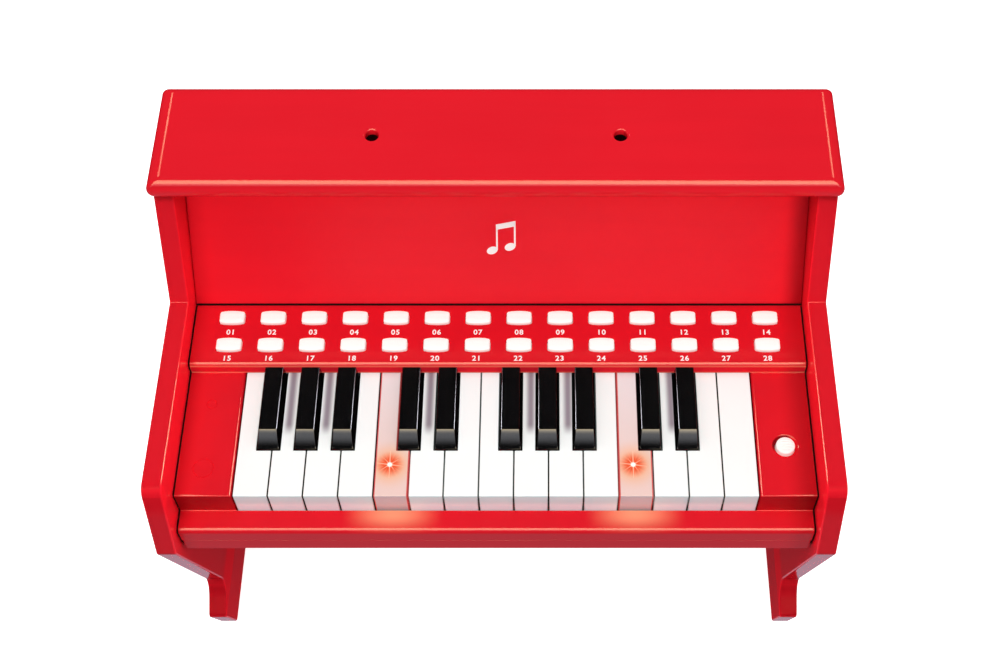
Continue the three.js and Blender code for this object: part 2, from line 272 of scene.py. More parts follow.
class Nodes:
    def __init__(self, name):
        self.mat = bpy.data.materials.new(name)
        self.mat.use_nodes = True
        self.t = self.mat.node_tree
        self.t.nodes.clear()
        self.out = self.new("ShaderNodeOutputMaterial")
        self.bsdf = self.new("ShaderNodeBsdfPrincipled")
        self.link(self.bsdf.outputs[0], self.out.inputs[0])
        self.co = self.new("ShaderNodeTexCoord").outputs["Object"]

    def new(self, kind, **kw):
        n = self.t.nodes.new(kind)
        for k, v in kw.items():
            setattr(n, k, v)
        return n

    def link(self, a, b):
        self.t.links.new(a, b)

    def math(self, op, a, b=None, clamp=False):
        n = self.new("ShaderNodeMath", operation=op, use_clamp=clamp)
        for i, v in enumerate((a, b)):
            if v is None:
                continue
            if hasattr(v, "links"):
                self.link(v, n.inputs[i])
            else:
                n.inputs[i].default_value = v
        return n.outputs[0]

    def noise(self, scale, detail=3, rough=0.5, dist=0.0, co=None):
        n = self.new("ShaderNodeTexNoise")
        n.inputs["Scale"].default_value = scale
        n.inputs["Detail"].default_value = detail
        n.inputs["Roughness"].default_value = rough
        n.inputs["Distortion"].default_value = dist
        self.link(co or self.co, n.inputs["Vector"])
        return n.outputs[0]

    def stretch(self, sx, sy, sz):
        n = self.new("ShaderNodeMapping")
        n.inputs["Scale"].default_value = (sx, sy, sz)
        self.link(self.co, n.inputs["Vector"])
        return n.outputs[0]

    def ramp(self, v, lo, hi, a=0.0, b=1.0, smooth=True):
        n = self.new("ShaderNodeMapRange", interpolation_type="SMOOTHSTEP" if smooth else "LINEAR")
        self.link(v, n.inputs[0])
        n.inputs[1].default_value = lo
        n.inputs[2].default_value = hi
        n.inputs[3].default_value = a
        n.inputs[4].default_value = b
        return n.outputs[0]

    def mix(self, f, a, b, blend="MIX"):
        n = self.new("ShaderNodeMix", data_type="RGBA", blend_type=blend)
        for s, v in ((0, f), (6, a), (7, b)):
            if hasattr(v, "links"):
                self.link(v, n.inputs[s])
            elif s == 0:
                n.inputs[s].default_value = v
            else:
                n.inputs[s].default_value = (*v, 1)
        return n.outputs[2]

    def bump(self, h, strength, dist=0.0005, normal=None):
        n = self.new("ShaderNodeBump")
        n.inputs["Strength"].default_value = strength
        n.inputs["Distance"].default_value = dist
        self.link(h, n.inputs["Height"])
        if normal:
            self.link(normal, n.inputs["Normal"])
        return n.outputs[0]

    def set(self, **kw):
        for k, v in kw.items():
            s = self.bsdf.inputs[k.replace("_", " ")]
            if hasattr(v, "links"):
                self.link(v, s)
            elif isinstance(v, tuple) and len(v) == 3 and s.type == "RGBA":
                s.default_value = (*v, 1)
            else:
                s.default_value = v

    def xyz(self, co=None):
        n = self.new("ShaderNodeSeparateXYZ")
        self.link(co or self.co, n.inputs[0])
        return n.outputs


RED = (0.82, 0.0098, 0.0215)


def red_paint(name, rough, peel, along, shade=None, gloss=None):
    m = Nodes(name)
    big = m.noise(9, 2, 0.5)
    grain = m.noise(30, 4, 0.6, 0.3, co=m.stretch(*along))
    tone = m.math("ADD", m.ramp(big, 0.3, 0.7, -0.02, 0.02), m.ramp(grain, 0.3, 0.7, -0.012, 0.012))
    v = m.math("ADD", tone, 1.0)
    if shade:
        v = m.math("MULTIPLY", v, shade(m))
    hsv = m.new("ShaderNodeHueSaturation")
    hsv.inputs["Color"].default_value = (*RED, 1)
    m.link(v, hsv.inputs["Value"])
    col = hsv.outputs[0]
    fine = m.noise(420, 2, 0.5)
    soft = m.noise(60, 2, 0.5)
    r = m.math("ADD", m.ramp(soft, 0.3, 0.7, rough * 0.93, rough * 1.07), m.ramp(fine, 0.4, 0.75, 0.0, 0.006))
    h = m.math("ADD", m.math("MULTIPLY", soft, 0.6), m.math("MULTIPLY", grain, 0.4))
    m.set(Base_Color=col, Roughness=r, IOR=1.5, Normal=m.bump(h, peel, 0.0004))
    if gloss:
        m.link(gloss(m), m.bsdf.inputs["Specular IOR Level"])
    return m


def yv(v):
    return (v + D / 2) * 0.001


def face(m, axis):
    return m.xyz(m.new("ShaderNodeNewGeometry").outputs["Normal"])[axis]


def face_y(m):
    return face(m, 1)


def board_end_painted_shade(m):
    # painted shade: the leaning board is darker where it runs in behind the side boards
    x = m.xyz()[0]
    return m.math("MULTIPLY", m.ramp(x, 0.1780, 0.1915, 1.0, 0.42), m.ramp(x, -0.1918, -0.1800, 0.80, 1.0))


def board_gloss(m):
    return m.math("ADD", m.ramp(face_y(m), -0.9, -0.7, 0.22, 0.5), 0.0)


def side_painted_shade(m):
    # painted shade: a little darker on the steep cheeks, on the tops of the arms and on the toes
    z = m.xyz()[2]
    up = face(m, 2)
    toe = m.math("MULTIPLY", m.ramp(z, 0.055, 0.075, 1.0, 0.0), m.ramp(up, 0.1, 0.6, 0.0, 0.42))
    k = m.math("MULTIPLY", m.ramp(face_y(m), -0.975, -0.93, 0.84, 1.0), m.ramp(up, 0.80, 0.96, 1.0, 0.84))
    return m.math("MULTIPLY", k, m.math("SUBTRACT", 1.0, toe))


def side_gloss(m):
    # less gloss on the toes and on the rounded front corner of the arms, which keeps highlights off them
    x, y, z = m.xyz()[:3]
    toe = m.math("MULTIPLY", m.ramp(z, 0.0335, 0.0370, 0.0, 1.0), m.ramp(z, 0.0570, 0.0720, 1.0, 0.0))
    toe = m.math("MULTIPLY", toe, m.ramp(m.math("MULTIPLY", face(m, 0), x), 0.10, 0.16, 1.0, 0.0))  # not on the outer sides
    corner = m.math("MULTIPLY", m.ramp(y, yv(-235), yv(-228), 1.0, 0.0), m.ramp(z, 0.2200, 0.2300, 0.0, 1.0))
    return m.math("SUBTRACT", 0.5, m.math("MULTIPLY", m.math("MAXIMUM", toe, corner), 0.48))


def lid_material():
    m = red_paint("red_lacquer_lid", 0.12, 0.008, (0.25, 3.0, 3.0))
    # painted light: the front-facing faces of the lid glow faintly red, which brightens them
    m.set(Emission_Color=(0.15, 0.003, 0.005), Emission_Strength=m.ramp(face_y(m), -0.98, -0.75, 1.0, 0.0))
    return m.mat


mat_wood_x = lid_material()
mat_board = red_paint("red_lacquer_board", 0.12, 0.008, (0.25, 3.0, 3.0), board_end_painted_shade, board_gloss).mat
mat_wood_z = red_paint("red_lacquer_sides", 0.12, 0.008, (3.0, 2.0, 0.3), side_painted_shade, side_gloss).mat


def dish(m):
    """1 inside the hollow around the power button, and how far towards its upper left"""
    x, y, z = m.xyz()[:3]
    dx = m.math("SUBTRACT", x, POWER_X * 0.001)
    dy = m.math("SUBTRACT", y, yv(POWER_Y))
    r = m.math("SQRT", m.math("ADD", m.math("MULTIPLY", dx, dx), m.math("MULTIPLY", dy, dy)))
    inside = m.math("MULTIPLY", m.ramp(r, 0.0078, 0.0088, 1.0, 0.0), m.ramp(z, (BLOCK_Z - 0.4) * 0.001, (BLOCK_Z - 0.05) * 0.001, 1.0, 0.3))
    lean = m.math("DIVIDE", m.math("ADD", m.math("MULTIPLY", dx, -0.62), m.math("MULTIPLY", dy, 0.78)), m.math("ADD", r, 0.00001))
    return inside, m.ramp(lean, 0.1, 0.75, 0.0, 1.0)


def console_shade(m):
    # painted shade: the mouldings darken towards the side boards, and in the hollow around the power button
    x, y, z = m.xyz()[:3]
    block = m.math("MULTIPLY", m.ramp(z, 0.2090, 0.2120, 0.0, 1.0), m.ramp(z, 0.2200, 0.2220, 1.0, 0.0))
    right = m.math("MULTIPLY", m.ramp(x, 0.1728, 0.1915, 0.0, 1.0), m.math("ADD", m.math("MULTIPLY", block, 0.09), 0.33))
    left = m.ramp(m.math("MULTIPLY", x, -1.0), 0.1815, 0.1920, 0.0, 0.22)
    inside, lean = dish(m)
    hollow = m.math("MULTIPLY", m.math("MULTIPLY", inside, lean), 0.72)
    k = m.math("MULTIPLY", m.math("SUBTRACT", 1.0, m.math("ADD", right, left)), m.math("SUBTRACT", 1.0, hollow))
    # painted shade on the upright faces in front of the end blocks, and on the tops of panel and blocks
    fr = m.math("MULTIPLY", m.ramp(face_y(m), -0.95, -0.7, 1.0, 0.0), m.math("MULTIPLY", m.ramp(z, 0.1990, 0.2000, 0.0, 1.0), m.ramp(z, 0.2165, 0.2185, 1.0, 0.0)))
    top = m.math("MULTIPLY", m.ramp(face(m, 2), 0.80, 0.96, 0.0, 0.08), m.ramp(z, 0.205, 0.210, 0.0, 1.0))
    k = m.math("MULTIPLY", k, m.math("SUBTRACT", 1.0, top))
    return m.math("MULTIPLY", k, m.math("SUBTRACT", 1.0, m.math("MULTIPLY", fr, m.ramp(m.math("ABSOLUTE", x), 0.157, 0.192, 0.29, 0.48))))


def console_gloss(m):
    z = m.xyz()[2]
    fr = m.math("MULTIPLY", m.ramp(face_y(m), -0.97, -0.85, 0.97, 0.0), m.ramp(z, 0.1990, 0.2000, 0.0, 1.0))
    return m.math("MULTIPLY", m.math("SUBTRACT", 0.5, m.math("MULTIPLY", dish(m)[0], 0.42)), m.math("SUBTRACT", 1.0, fr))


def console_material():
    m = red_paint("red_console_plastic", 0.12, 0.004, (1.0, 1.0, 1.0), console_shade, console_gloss)
    # soft light that the two lit keys throw on the ledge in front of them
    x, y, z = m.xyz()[:3]
    total = None
    for i in LIT:
        cx = (joint_x(i) + PITCH / 2) * 0.001
        dx = m.math("ABSOLUTE", m.math("SUBTRACT", x, cx))
        gx = m.ramp(dx, 0.0, 0.032, 1.0, 0.0)
        total = gx if total is None else m.math("ADD", total, gx, True)
    gy = m.ramp(y, (SLIP_FRONT + D / 2 - 0.2) * 0.001, (BLOCK_FRONT + D / 2 - 3.0) * 0.001, 0.15, 1.0)
    gz = m.ramp(z, (LEDGE_Z - 3.5) * 0.001, (LEDGE_Z - 0.2) * 0.001, 0.0, 1.0)
    front = m.math("LESS_THAN", y, (BLOCK_FRONT + D / 2 + 0.5) * 0.001)
    top = m.math("LESS_THAN", z, (LEDGE_Z + 0.5) * 0.001)
    g = m.math("MULTIPLY", m.math("MULTIPLY", total, gy), m.math("MULTIPLY", gz, m.math("MULTIPLY", front, top)))
    # painted light: the upright step under the front edge of the panel glows faintly red
    step_glow = m.math("MULTIPLY", m.ramp(face_y(m), -0.98, -0.75, 1.0, 0.0), m.ramp(z, 0.2178, 0.2192, 0.0, 1.0))
    m.set(Emission_Color=m.mix(step_glow, (0.38, 0.39, 0.20), (0.03, 0.003, 0.006)), Emission_Strength=m.math("ADD", m.math("MULTIPLY", g, 0.80), step_glow))
    return m.mat


mat_console = console_material()


def white_plastic(name, base, rough, glow=0.06, shade=False):
    # glow is painted light: an even faint emission that makes the white plastic brighter
    m = Nodes(name)
    n = m.noise(40, 3, 0.5)
    tone = m.ramp(n, 0.3, 0.7, 0.985, 1.0)
    col = m.mix(1.0, base, (1, 1, 1), "MULTIPLY")
    hsv = m.new("ShaderNodeHueSaturation")
    m.link(col, hsv.inputs["Color"])
    m.link(tone, hsv.inputs["Value"])
    c = hsv.outputs[0]
    if shade:
        # soft grey-violet shade on the white keys between two neighbouring black keys
        x, y, z = m.xyz()[:3]
        total = None
        for j, bx in enumerate(BLACK_X[:-1]):
            if BLACKS[j + 1][0] != BLACKS[j][0] + 1:
                continue
            d = m.math("ABSOLUTE", m.math("SUBTRACT", x, (bx + B_W / 2 + 4.6 + 2.3 * ((bx + 165) / 240) ** 2) * 0.001))
            g = m.ramp(d, 0.0003, 0.0044, 1.0, 0.0)
            total = g if total is None else m.math("MAXIMUM", total, g)
        gy = m.ramp(y, (B_FRONT + D / 2 + 8) * 0.001, (B_FRONT + D / 2 + 18) * 0.001, 0.0, 1.0)
        # and a faint painted shade towards the rear, under the edge of the panel
        back = m.ramp(y, (PANEL_FRONT + D / 2 - 26) * 0.001, (PANEL_FRONT + D / 2) * 0.001, 0.0, 0.02)
        k = m.math("ADD", m.math("MULTIPLY", m.math("MULTIPLY", total, gy), 0.93), back)
        c = m.mix(k, c, (0.31, 0.24, 0.29))
        # the painted glow, weaker where the painted shade lies
        lift = m.math("MULTIPLY", m.math("SUBTRACT", 1.0, k), glow)
        m.set(Emission_Strength=lift)
        # the key fronts: painted shade in their colour, and a painted glow that grows towards their lower edge
        fr = m.ramp(face_y(m), -0.95, -0.6, 1.0, 0.0)
        c = m.mix(fr, c, (0.78, 0.86, 0.89))
        em = m.mix(fr, (0.75, 1.0, 0.97), (0.0, 0.75, 0.85))
        em = m.mix(m.math("MULTIPLY", fr, m.ramp(z, 0.1990, 0.2110, 1.0, 0.0)), em, (2.2, 2.1, 2.3))
        # the flanks between two keys lie in shade
        flank = m.math("MULTIPLY", m.ramp(m.math("ABSOLUTE", face(m, 0)), 0.75, 0.97, 0.0, 1.0), m.ramp(z, (KEY_TOP - 1.6) * 0.001, (KEY_TOP - 0.3) * 0.001, 1.0, 0.85))
        c = m.mix(flank, c, (0.04, 0.035, 0.033))
        m.set(Emission_Color=m.mix(flank, em, (0.0, 0.0, 0.0)))
    else:
        m.set(Emission_Strength=glow, Emission_Color=(0.80, 1.0, 0.98))
    m.set(Base_Color=c, Roughness=m.ramp(m.noise(90, 2), 0.3, 0.7, rough * 0.85, rough * 1.2), IOR=1.48,
          Normal=m.bump(m.noise(150, 2), 0.02, 0.0002))
    return m


mat_white = white_plastic("white_key_plastic", (0.97, 0.97, 0.95), 0.16, 0.12, True).mat


def lit_material(i):
    cx = (joint_x(i) + PITCH / 2 - 1.4) * 0.001
    cy = (-207.6 + D / 2) * 0.001
    m = Nodes("lit_key_%02d" % (i + 1))
    x, y, z = m.xyz()[:3]
    dx = m.math("SUBTRACT", x, cx)
    dy = m.math("SUBTRACT", y, cy)
    r = m.math("SQRT", m.math("ADD", m.math("MULTIPLY", dx, dx), m.math("MULTIPLY", dy, dy)))
    # pink body, paler towards the rear: the key's lamp light painted into its colour
    back = m.ramp(y, cy, cy + 0.06, 0.0, 1.0, False)
    body = m.mix(back, (0.93, 0.68, 0.62), (0.95, 0.86, 0.86))
    # halo: pale orange outside, orange-red ring, white heart
    halo = m.ramp(r, 0.0015, 0.0185, 1.0, 0.0)
    ring = m.ramp(r, 0.0026, 0.0100, 1.0, 0.0)
    core = m.ramp(r, 0.0006, 0.0021, 1.0, 0.0)
    # four thin rays, upright and across, and four short ones between them
    adx = m.math("ABSOLUTE", dx)
    ady = m.math("ABSOLUTE", dy)
    ray = None
    for ang, length, width in ((90, 0.0095, 0.00045), (172, 0.0085, 0.00045), (35, 0.0065, 0.00035), (128, 0.0055, 0.00035)):
        c, s = math.cos(math.radians(ang)), math.sin(math.radians(ang))
        u = m.math("ABSOLUTE", m.math("ADD", m.math("MULTIPLY", dx, c), m.math("MULTIPLY", dy, s)))
        v = m.math("ABSOLUTE", m.math("SUBTRACT", m.math("MULTIPLY", dx, s), m.math("MULTIPLY", dy, c)))
        taper = m.ramp(u, 0.0, length, 1.0, 0.0, False)
        w = m.math("DIVIDE", v, m.math("ADD", m.math("MULTIPLY", taper, width), 0.00001))
        k = m.math("MULTIPLY", m.ramp(w, 0.3, 1.2, 1.0, 0.0), m.math("GREATER_THAN", taper, 0.01))
        ray = k if ray is None else m.math("MAXIMUM", ray, k)
    e = m.mix(halo, (0.0, 0.0, 0.0), (0.16, 0.050, 0.010))
    e = m.mix(ring, e, (0.16, 0.010, 0.002))
    # fine spokes in the ring
    ang = m.math("ARCTAN2", dy, dx)
    spoke = m.math("MULTIPLY", m.ramp(m.math("SINE", m.math("MULTIPLY", ang, 17.0)), 0.1, 1.0, 0.0, 0.35), ring)
    e = m.mix(spoke, e, (0.55, 0.16, 0.07))
    e = m.mix(m.math("MULTIPLY", ray, 0.8), e, (0.9, 0.62, 0.45))
    e = m.mix(core, e, (1.4, 1.2, 1.1))
    top = m.math("GREATER_THAN", z, (KEY_TOP - 0.4) * 0.001)
    side = m.ramp(m.math("ABSOLUTE", m.xyz(m.new("ShaderNodeNewGeometry").outputs["Normal"])[0]), 0.75, 0.95, 0.0, 1.0)
    e2 = m.mix(top, (0.03, 0.004, 0.004), e)
    # the front face: a faint bluish painted glow here, and painted shade in its base colour below
    fr = m.ramp(face_y(m), -0.95, -0.6, 1.0, 0.0)
    e2 = m.mix(fr, e2, (0.035, 0.055, 0.075))
    # red light in the gaps on both sides of the key
    rim = m.ramp(m.math("ABSOLUTE", m.math("SUBTRACT", x, (joint_x(i) + PITCH / 2) * 0.001)), (PITCH / 2 - KGAP / 2 - 0.90) * 0.001, (PITCH / 2 - KGAP / 2 - 0.55) * 0.001, 0.0, 1.0)
    side = m.math("MAXIMUM", side, rim)
    e3 = m.mix(side, e2, (0.31, 0.034, 0.034))
    body2 = m.mix(m.math("MULTIPLY", halo, 0.88), body, (0.84, 0.42, 0.19))
    body2 = m.mix(m.math("MULTIPLY", ring, 0.95), body2, (0.75, 0.075, 0.020))
    body2 = m.mix(fr, body2, (0.66, 0.52, 0.54))
    body2 = m.mix(side, body2, (0.40, 0.07, 0.07))
    m.set(Base_Color=body2, Roughness=0.2, IOR=1.48, Emission_Color=e3, Emission_Strength=1.0,
          Normal=m.bump(m.noise(150, 2), 0.02, 0.0002))
    return m.mat


def black_material():
    m = Nodes("black_key_plastic")
    n = m.noise(70, 3)
    m.set(Base_Color=m.mix(m.ramp(n, 0.3, 0.7), (0.0022, 0.002, 0.0021), (0.0034, 0.0031, 0.0032)),
          Roughness=m.ramp(m.noise(160, 2), 0.3, 0.7, 0.08, 0.13), IOR=1.70, Specular_Tint=(0.80, 0.82, 0.88),
          Normal=m.bump(m.noise(220, 2), 0.015, 0.0002))
    return m.mat


mat_black = black_material()


def silicone(name, rough):
    m = white_plastic(name, (0.97, 0.96, 0.92), rough, 0.20)
    g = m.noise(900, 2)
    m.set(Normal=m.bump(g, 0.05, 0.0001))
    return m.mat


mat_button = silicone("white_silicone", 0.38)
mat_power = white_plastic("power_button_plastic", (0.96, 0.95, 0.91), 0.3, 0.14).mat


def ink():
    m = Nodes("white_print")
    n = m.noise(800, 2)
    # a faint painted glow keeps the print bright white
    m.set(Base_Color=m.mix(m.ramp(n, 0.35, 0.65), (0.90, 0.87, 0.86), (0.97, 0.95, 0.94)), Roughness=0.45, Emission_Color=(1.0, 1.0, 0.98), Emission_Strength=0.12, Normal=m.bump(n, 0.03, 0.00005))
    return m.mat


mat_ink = ink()


def steel():
    m = Nodes("zinc_screw")
    n = m.noise(500, 3, co=m.stretch(1, 1, 6))
    m.set(Base_Color=m.mix(m.ramp(n, 0.3, 0.7), (0.42, 0.42, 0.43), (0.62, 0.62, 0.63)), Metallic=1.0, Roughness=m.ramp(n, 0.3, 0.7, 0.25, 0.42), Normal=m.bump(n, 0.08, 0.0001))
    return m.mat


mat_steel = steel()


# painted shadow: a near-black matt sheet that stands for the shadow in narrow gaps
def gap_shadow_sheet():
    m = Nodes("black_felt")
    n = m.noise(900, 4, 0.7)
    m.set(Base_Color=m.mix(m.ramp(n, 0.3, 0.7), (0.004, 0.002, 0.002), (0.012, 0.006, 0.006)), Roughness=1.0, Normal=m.bump(n, 0.3, 0.0001))
    m.bsdf.inputs["Specular IOR Level"].default_value = 0.05
    return m.mat


mat_gap_shadow = gap_shadow_sheet()


def bore():
    m = Nodes("peg_bore_shadow")
    n = m.noise(600, 3)
    m.set(Base_Color=m.mix(m.ramp(n, 0.3, 0.7), (0.006, 0.001, 0.001), (0.02, 0.001, 0.002)), Roughness=0.5, Normal=m.bump(n, 0.1, 0.0001))
    m.bsdf.inputs["Specular IOR Level"].default_value = 0.2
    return m.mat


mat_bore = bore()

# ---- side boards --------------------------------------------------------------------------
side_outline = rounded([
    (-2, 0, 2.7, 4),
    (-2, TOTAL_H - LID_T - 0.3, 2.7, 4),
    (-73.9, TOTAL_H - LID_T - 0.3, 2.7, 4),
    (-107.2, ARM_TOP, 0.5, 3),
    (-238.9, ARM_TOP, 8, 12),
    (-254.57, 190, 4, 8),
    (-212.4, 51.3, 16, 14),
    (-234.2, 38, 3.5, 8),
    (-222.4, 0, 3.0, 5),
])
for s, node in ((-1, "left_side_panel"), (1, "right_side_panel")):
    bm = bmesh.new()
    round_prism_x(bm, side_outline, s * INNER, s * SIDE_OUT, 1.2, 8, 0.9)
    ob = finish_mesh("board_" + node, bm, mat=mat_wood_z, node=node)

# ---- lid ----------------------------------------------------------------------------------
bm = bmesh.new()
rings = []
z0, z1 = TOTAL_H - LID_T, TOTAL_H
steps = 10
for k in range(steps + 1):
    a = math.radians(90 * (1 - k / steps))
    i = LID_R * (1 - math.cos(a))
    rings.append((i, z0 + LID_R - LID_R * math.sin(a)))
for k in range(steps + 1):
    a = math.radians(90 * k / steps)
    i = LID_R * (1 - math.cos(a))
    rings.append((i, z1 - LID_R + LID_R * math.sin(a)))
loft(bm, [rect_ring(-LID_W / 2 + 1.4 * i, LID_W / 2 - 1.4 * i, -LID_D + i, -i, z, max(0.6, 3.2 - 0.37 * i), 8) for i, z in rings])
lid = finish_mesh("board_top_lid", bm, mat=mat_wood_x, node="top_lid")
for s in (-1, 1):
    c = bmesh.new()
    prof = [(4.0, z1 - 12), (4.0, z1 - 4.2), (4.0, z1 - 1.5)]
    prof += [(4.0 + 1.5 * (1 - math.cos(math.radians(w))), z1 - 1.5 + 1.5 * math.sin(math.radians(w))) for w in (18, 36, 54, 72, 86)]
    prof += [(6.4, z1 + 0.4), (6.6, z1 + 2)]
    loft(c, [circle_ring(s * PEG_X, PEG_Y, z, r) for r, z in prof])
    boolean(lid, c)
lid.data.materials.append(mat_bore)
for f in lid.data.polygons:
    c = f.center * 1000
    if any(math.hypot(c.x - s * PEG_X, c.y - D / 2 - PEG_Y) < 4.3 for s in (-1, 1)) and c.z < z1 - 4.3:
        f.material_index = 1
sharpen(lid, 50)

# ---- upper front board and back panel ------------------------------------------------------
bm = bmesh.new()
prism_x(bm, [(-97.4, PANEL_Z + 0.3), (-90.1, PANEL_Z + 0.3), (-31.7, TOTAL_H - LID_T - 0.3), (-39, TOTAL_H - LID_T - 0.3)], -INNER + 0.3, INNER - 0.3)
bevel_sharp(bm, 0.6, 3)
finish_mesh("board_upper_front", bm, mat=mat_board, node="upper_front_board")

bm = bmesh.new()
prism_x(bm, [(-9, 165), (-3, 165), (-3, TOTAL_H - LID_T - 0.3), (-9, TOTAL_H - LID_T - 0.3)], -INNER + 0.3, INNER - 0.3)
bevel_sharp(bm, 1.0, 3)
back = finish_mesh("board_back", bm, mat=mat_wood_x, node="back_panel")


def lathe_y(bm, x, z, prof, n=32):
    """rings about an axis along Y through (x, z); prof is (radius, depth)"""
    loft(bm, [[P(x + r * math.cos(2 * math.pi * i / n), v, z + r * math.sin(2 * math.pi * i / n)) for i in range(n)] for r, v in prof])


screws = bmesh.new()
holes = bmesh.new()
for x in (-182, -91, 0, 91, 182):
    for z in (174, 300):
        lathe_y(screws, x, z, [(2.0, -5), (3.3, -3.35), (3.5, -3.15), (3.5, -3.0), (3.2, -2.9)])
        lathe_y(holes, x, z, [(2.0, -5.2), (3.7, -3.35), (4.0, -2.95), (4.4, -2)])
for z in (232, 268):
    for x in (-182, 182):
        lathe_y(screws, x, z, [(2.0, -5), (3.3, -3.35), (3.5, -3.15), (3.5, -3.0), (3.2, -2.9)])
        lathe_y(holes, x, z, [(2.0, -5.2), (3.7, -3.35), (4.0, -2.95), (4.4, -2)])
boolean(back, holes)
screw_ob = finish_mesh("back_panel_screws", screws, mat=mat_steel)
cross = bmesh.new()
for x, z in [(x, z) for x in (-182, -91, 0, 91, 182) for z in (174, 300)] + [(x, z) for z in (232, 268) for x in (-182, 182)]:
    rings = []
    for v, w, h in ((-4.2, 1.2, 0.3), (-2.5, 2.0, 0.42)):
        arm = [(w, -h), (w, h), (h, h), (h, w), (-h, w), (-h, h), (-w, h), (-w, -h), (-h, -h), (-h, -w), (h, -w), (h, -h)]
        rings.append([P(x + dx, v, z + dz) for dx, dz in arm])
    loft(cross, rings)
boolean(screw_ob, cross)
sharpen(screw_ob, 30)

# ---- console: upper moulding ---------------------------------------------------------------
bm = bmesh.new()
round_prism_x(bm, rounded([
    (SLIP_FRONT, SEAM_Z + 0.25),
    (SLIP_FRONT, LEDGE_Z, 3.4, 10),
    (BLOCK_FRONT, LEDGE_Z, 0.5, 4),
    (BLOCK_FRONT, BLOCK_Z, 1.5, 8),
    (PANEL_FRONT, BLOCK_Z, 0.5, 4),
    (PANEL_FRONT, PANEL_Z, 3.6, 10),
    (PANEL_BACK, PANEL_Z, 0.6, 3),
    (PANEL_BACK, SEAM_Z + 0.25),
]), -CON, CON, 0.45, 3)
shell = finish_mesh("console_upper_shell", bm, mat=mat_console, node="keyboard_console", weighted=False)
K = HALF + 0.4


def well(x, z_low, z_high, y0, y1, r):
    """cutter for the key well: its long top edges flare out, which leaves rounded edges"""
    arc = [(x + r * (1 - math.cos(math.radians(w))), z_high - r + r * math.sin(math.radians(w))) for w in (0, 15, 30, 45, 60, 75, 88)]
    right = [(x, z_low)] + arc + [(x + r + 1.2, z_high + 0.6), (x + r + 1.2, z_high + 14)]
    pts = right + [(-a, b) for a, b in reversed(right)]
    bm = bmesh.new()
    loft(bm, [[P(a, y, b) for a, b in pts] for y in (y0, y1)])
    return bm


# in front of the panel, down to the block tops
boolean(shell, well(K, 189, BLOCK_Z, BLOCK_FRONT - 0.25, PANEL_FRONT - 0.35, 2.2))
boolean(shell, box_bm(-K - 0.01, K + 0.01, PANEL_FRONT - 6, -88, 189.01, BLOCK_Z + 0.15))

holes = bmesh.new()
for y in ROWS:
    for i in range(14):
        x = (i - 6.5) * BTN_PITCH
        levels = [(0.35, PANEL_Z - 5), (0.35, PANEL_Z - 0.5)]
        levels += [(0.35 + 0.5 * (1 - math.cos(math.radians(w))), PANEL_Z - 0.5 + 0.5 * math.sin(math.radians(w))) for w in (22, 45, 68, 86)]
        levels += [(1.15, PANEL_Z + 0.4), (1.2, PANEL_Z + 3)]
        loft(holes, [barrel_ring(x, y, z, k) for k, z in levels])
r0 = POWER_D / 2 + 0.35
levels = [(r0, BLOCK_Z - 8), (r0, BLOCK_Z - 1.6)]
levels += [(r0 + 0.3 * (1 - math.cos(math.radians(w))), BLOCK_Z - 1.6 + 0.3 * math.sin(math.radians(w))) for w in (45, 90)]
levels += [(r0 + 0.5, BLOCK_Z - 1.25), (r0 + 0.9, BLOCK_Z - 0.95), (r0 + 1.4, BLOCK_Z - 0.5), (r0 + 1.75, BLOCK_Z - 0.22), (r0 + 2.15, BLOCK_Z - 0.04), (r0 + 2.6, BLOCK_Z + 0.2), (r0 + 3, BLOCK_Z + 2)]
loft(holes, [circle_ring(POWER_X, POWER_Y, z, r, 56) for r, z in levels])
# two fine ring grooves moulded in the left block
for x, y, r in ((-176.9, -166.0, 3.0), (-177.1, -210.5, 6.2)):
    prof = [(r - 0.50, BLOCK_Z + 0.15), (r - 0.38, BLOCK_Z - 0.02), (r - 0.1, BLOCK_Z - 0.45), (r + 0.1, BLOCK_Z - 0.45), (r + 0.38, BLOCK_Z - 0.02), (r + 0.50, BLOCK_Z + 0.15)]
    vr = [[holes.verts.new(p) for p in circle_ring(x, y, z, q, 48)] for q, z in prof]
    for k in range(len(prof)):
        for i in range(48):
            a0, b0 = vr[k], vr[(k + 1) % len(prof)]
            holes.faces.new([a0[i], a0[(i + 1) % 48], b0[(i + 1) % 48], b0[i]])
boolean(shell, holes)
# the floor of the key well gets the near-black painted-shadow material
shell.data.materials.append(mat_gap_shadow)
for f in shell.data.polygons:
    c = f.center * 1000
    if c.z < 189.5 and c.z > 188.5 and abs(c.x) < K and f.normal.z > 0.9:
        f.material_index = 1
sharpen(shell, 40)
m = shell.modifiers.new("normals", "WEIGHTED_NORMAL")
m.weight = 80
m.keep_sharp = True

# ---- console: lower shell ------------------------------------------------------------------
bm = bmesh.new()
r = 1.0
lv = [(r * (1 - math.cos(math.radians(w))), CON_BOTTOM + r - r * math.sin(math.radians(w))) for w in (90, 75, 60, 45, 30, 15, 0)]
lv += [(0.0, SEAM_Z - 0.55), (0.25, SEAM_Z - 0.25)]
loft(bm, [rect_ring(-CON + 0.2 + i, CON - 0.2 - i, SLIP_FRONT + 0.1 + i, PANEL_BACK - 0.2 - i, z, 1.2 - 0.3 * i, 6) for i, z in lv])
lower = finish_mesh("console_lower_shell", bm, mat=mat_console)
